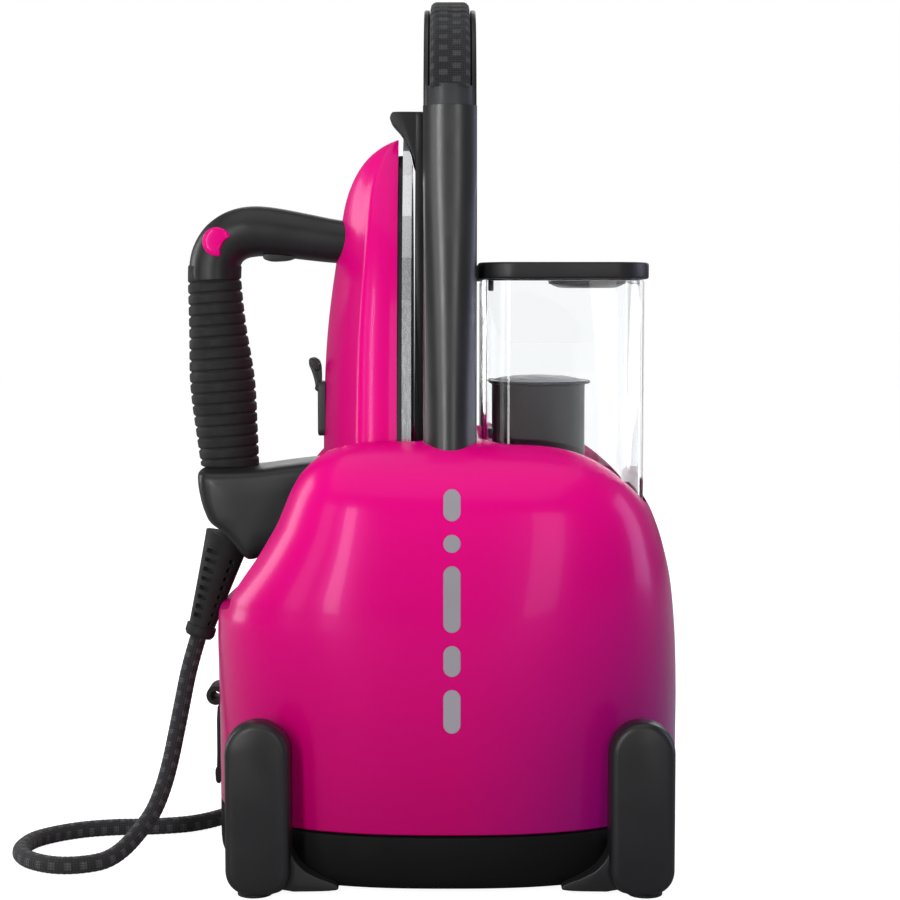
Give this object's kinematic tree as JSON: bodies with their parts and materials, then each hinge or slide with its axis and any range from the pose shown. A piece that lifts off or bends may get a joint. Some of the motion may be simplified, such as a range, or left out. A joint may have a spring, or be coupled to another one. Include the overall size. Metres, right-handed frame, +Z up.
{
  "type": "steam iron station",
  "caption": "Compact steam iron station: rounded base with carrying arch, steam iron parked upright, clear lift-off water tank and braided steam hose.",
  "frame": {"origin": "under the middle of the object without its hose, on the surface that it stands on", "axes": "+Z up; the arch stands in the Y-Z plane; the parked iron is towards -X and the water tank towards +X; the hose coil lies towards +Y"},
  "size_m": [0.3252, 0.326, 0.415],
  "materials": {
    "pink_gloss": "glossy, clear-coated look",
    "black_plastic": "satin, finely textured",
    "grey_plastic": "satin",
    "soft_rubber": "matt, soft touch",
    "woven_pad": "woven, grey flecks",
    "braided_hose": "braided, grey flecks",
    "clear_tank": "clear, polished",
    "bright_steel": "brushed",
    "heater_metal": "satin",
    "insulation": "felted fibre",
    "resin": "granular, pale grey cap",
    "board": "solder mask",
    "silicone_tube": "milky"
  },
  "bodies": {
    "base": {"body_shell": "pink_gloss", "base_tray": "black_plastic", "chassis_plate": "bright_steel", "foot_front_left": "black_plastic", "foot_front_right": "black_plastic", "foot_rear_left": "black_plastic", "foot_rear_right": "black_plastic", "foot_pads": "soft_rubber", "base_screws": "bright_steel", "handle_core": "bright_steel", "leg_cover_front": "black_plastic", "leg_cover_rear": "black_plastic", "handle_collars": "grey_plastic", "grip_shell": "black_plastic", "grip_pad": "woven_pad", "iron_rest_plate": "black_plastic", "iron_cradle": "grey_plastic", "tank_dock": "grey_plastic", "tank_seal": "soft_rubber", "boiler": "bright_steel", "boiler_jacket": "insulation", "heating_element": "heater_metal", "boiler_thermostat": "heater_metal", "pump": "black_plastic", "pump_mounts": "soft_rubber", "steam_valve": "heater_metal", "feed_tubes": "silicone_tube", "circuit_board": "board", "mains_gland": "black_plastic", "hose_gland": "black_plastic", "hose_strap": "soft_rubber", "hose_run": "braided_hose", "hose_coil": "braided_hose", "hose_tail": "braided_hose", "hose_tie": "soft_rubber"},
    "power_button": {"power_button": "black_plastic"},
    "iron": {"iron_cover": "pink_gloss", "soleplate": "bright_steel", "heat_shield": "black_plastic", "iron_heater": "heater_metal", "iron_thermostat": "heater_metal", "handle_shell": "black_plastic", "grip_sleeve": "soft_rubber", "heel_housing": "black_plastic", "strain_relief": "soft_rubber", "selector_plate": "grey_plastic", "iron_screws": "bright_steel", "handle_switches": "grey_plastic"},
    "selector": {"selector_lever": "black_plastic"},
    "button_near": {"steam_button_near": "pink_gloss"},
    "button_far": {"steam_button_far": "pink_gloss"},
    "trigger": {"steam_trigger": "black_plastic"},
    "tank": {"tank_shell": "clear_tank", "filter_cup": "black_plastic", "filter_resin": "resin", "tank_valve": "grey_plastic"},
    "lid": {"tank_lid": "black_plastic"},
    "flap": {"filler_flap": "black_plastic"}
  },
  "joints": [
    {"name": "iron_lift", "type": "slide", "parent": "base", "child": "iron", "axis": [-0.9397, 0, 0.342], "range_m": [0, 0.25]},
    {"name": "selector_turn", "type": "hinge", "parent": "iron", "child": "selector", "pos_m": [-0.057, 0, 0.2287], "axis": [0, 1, 0], "range_deg": [-18, 0]},
    {"name": "button_near_press", "type": "slide", "parent": "iron", "child": "button_near", "axis": [0, 1, 0], "range_m": [0, 0.0015], "stiffness_N_per_m": 400, "springref_m": -0.0008},
    {"name": "button_far_press", "type": "slide", "parent": "iron", "child": "button_far", "axis": [0, -1, 0], "range_m": [0, 0.0015], "stiffness_N_per_m": 400, "springref_m": -0.0008},
    {"name": "trigger_press", "type": "slide", "parent": "iron", "child": "trigger", "axis": [0, 0, 1], "range_m": [0, 0.002], "stiffness_N_per_m": 400, "springref_m": -0.0008},
    {"name": "tank_lift", "type": "slide", "parent": "base", "child": "tank", "axis": [0, 0, 1], "range_m": [0, 0.16]},
    {"name": "lid_lift", "type": "slide", "parent": "tank", "child": "lid", "axis": [0, 0, 1], "range_m": [0, 0.05]},
    {"name": "flap_turn", "type": "hinge", "parent": "lid", "child": "flap", "pos_m": [0.0568, 0, 0.2871], "axis": [0, -1, 0], "range_deg": [0, 95]},
    {"name": "power_press", "type": "slide", "parent": "base", "child": "power_button", "axis": [0, -1, 0], "range_m": [0, 0.0015], "stiffness_N_per_m": 400, "springref_m": -0.0008}
  ]
}
